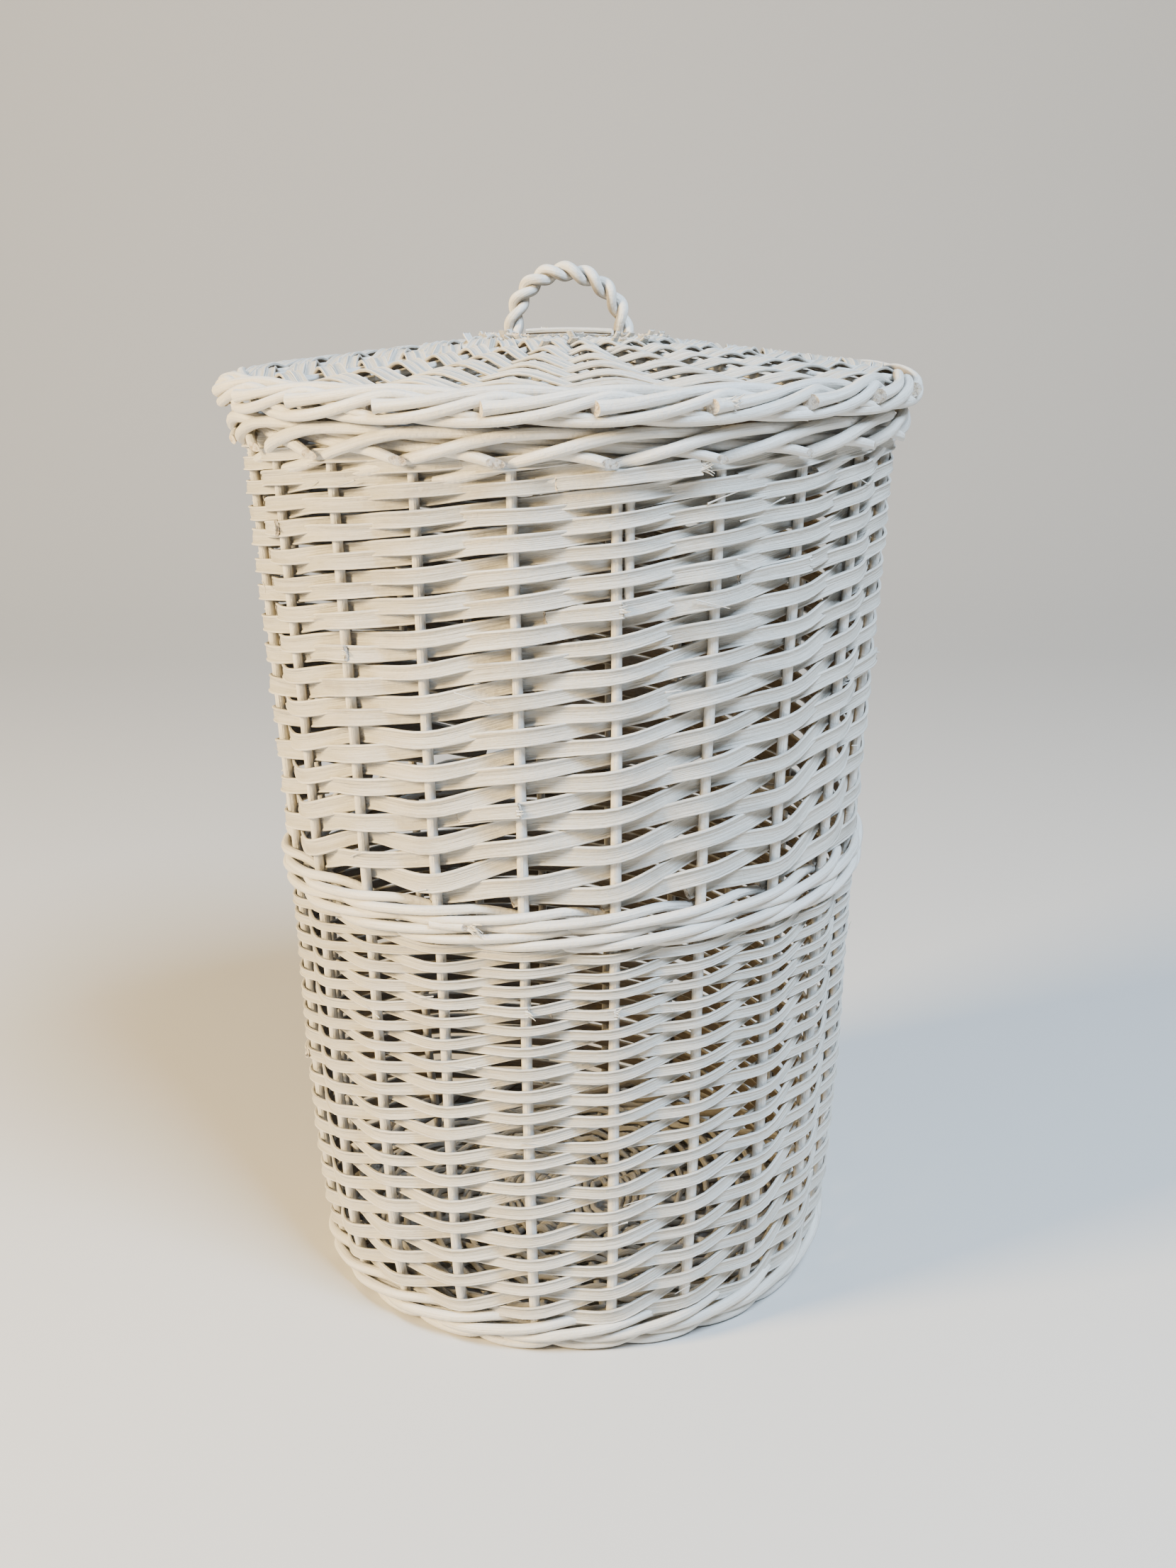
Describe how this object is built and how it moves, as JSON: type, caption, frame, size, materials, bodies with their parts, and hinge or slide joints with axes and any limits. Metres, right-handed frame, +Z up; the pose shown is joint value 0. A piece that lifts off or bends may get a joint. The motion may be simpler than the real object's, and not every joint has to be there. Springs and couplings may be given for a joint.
{
  "type": "laundry hamper with lid",
  "caption": "Round wicker laundry hamper of painted willow, waisted by a band of waling, with a loose woven lid and a twisted loop handle.",
  "frame": {"origin": "middle of the foot, on the floor", "axes": "+Z up along the hamper's own axis, towards the handle; -Y is the front and +X the right-hand side seen from the front"},
  "size_m": [0.427, 0.427, 0.6424],
  "materials": {
    "painted_rod": "satin off-white paint brushed over peeled willow rods",
    "painted_strip": "thin matte off-white paint over flat split willow, with a fine lengthwise grain",
    "cut_end": "slanting cut tips with the pale wood and pith showing through thin paint"
  },
  "bodies": {
    "basket": {"base_slath": "painted_rod", "base_weave": "painted_strip", "bye_stake": "painted_rod", "foot_border": "painted_rod", "foot_wale_1": "painted_rod", "foot_wale_2": "painted_rod", "lower_siding_1": "painted_strip", "lower_siding_2": "painted_strip", "lower_siding_3": "painted_strip", "lower_siding_4": "painted_strip", "lower_siding_5": "painted_strip", "mid_wale_1": "painted_rod", "mid_wale_2": "painted_rod", "side_stake_01": "painted_rod", "side_stake_02": "painted_rod", "side_stake_03": "painted_rod", "side_stake_04": "painted_rod", "side_stake_05": "painted_rod", "side_stake_06": "painted_rod", "side_stake_07": "painted_rod", "side_stake_08": "painted_rod", "side_stake_09": "painted_rod", "side_stake_10": "painted_rod", "side_stake_11": "painted_rod", "side_stake_12": "painted_rod", "side_stake_13": "painted_rod", "side_stake_14": "painted_rod", "side_stake_15": "painted_rod", "side_stake_16": "painted_rod", "side_stake_17": "painted_rod", "side_stake_18": "painted_rod", "side_stake_19": "painted_rod", "side_stake_20": "painted_rod", "side_stake_21": "painted_rod", "side_stake_22": "painted_rod", "top_border": "painted_rod", "upper_siding_1": "painted_strip", "upper_siding_2": "painted_strip", "upper_siding_3": "painted_strip", "upper_siding_4": "painted_strip", "upper_siding_5": "painted_strip"},
    "lid": {"handle_bar_1": "painted_strip", "handle_bar_2": "painted_strip", "handle_strand_1": "painted_rod", "handle_strand_2": "painted_rod", "lid_border": "painted_rod", "lid_stick_01": "painted_rod", "lid_stick_02": "painted_rod", "lid_stick_03": "painted_rod", "lid_stick_04": "painted_rod", "lid_stick_05": "painted_rod", "lid_stick_06": "painted_rod", "lid_stick_07": "painted_rod", "lid_stick_08": "painted_rod", "lid_stick_09": "painted_rod", "lid_stick_10": "painted_rod", "lid_stick_11": "painted_rod", "lid_weave_1": "painted_strip", "lid_weave_2": "painted_strip", "lid_weave_3": "painted_strip"}
  },
  "joints": [
    {"name": "lid_lift", "type": "slide", "parent": "basket", "child": "lid", "axis": [0, 0, 1], "range_m": [0, 0.25]}
  ]
}
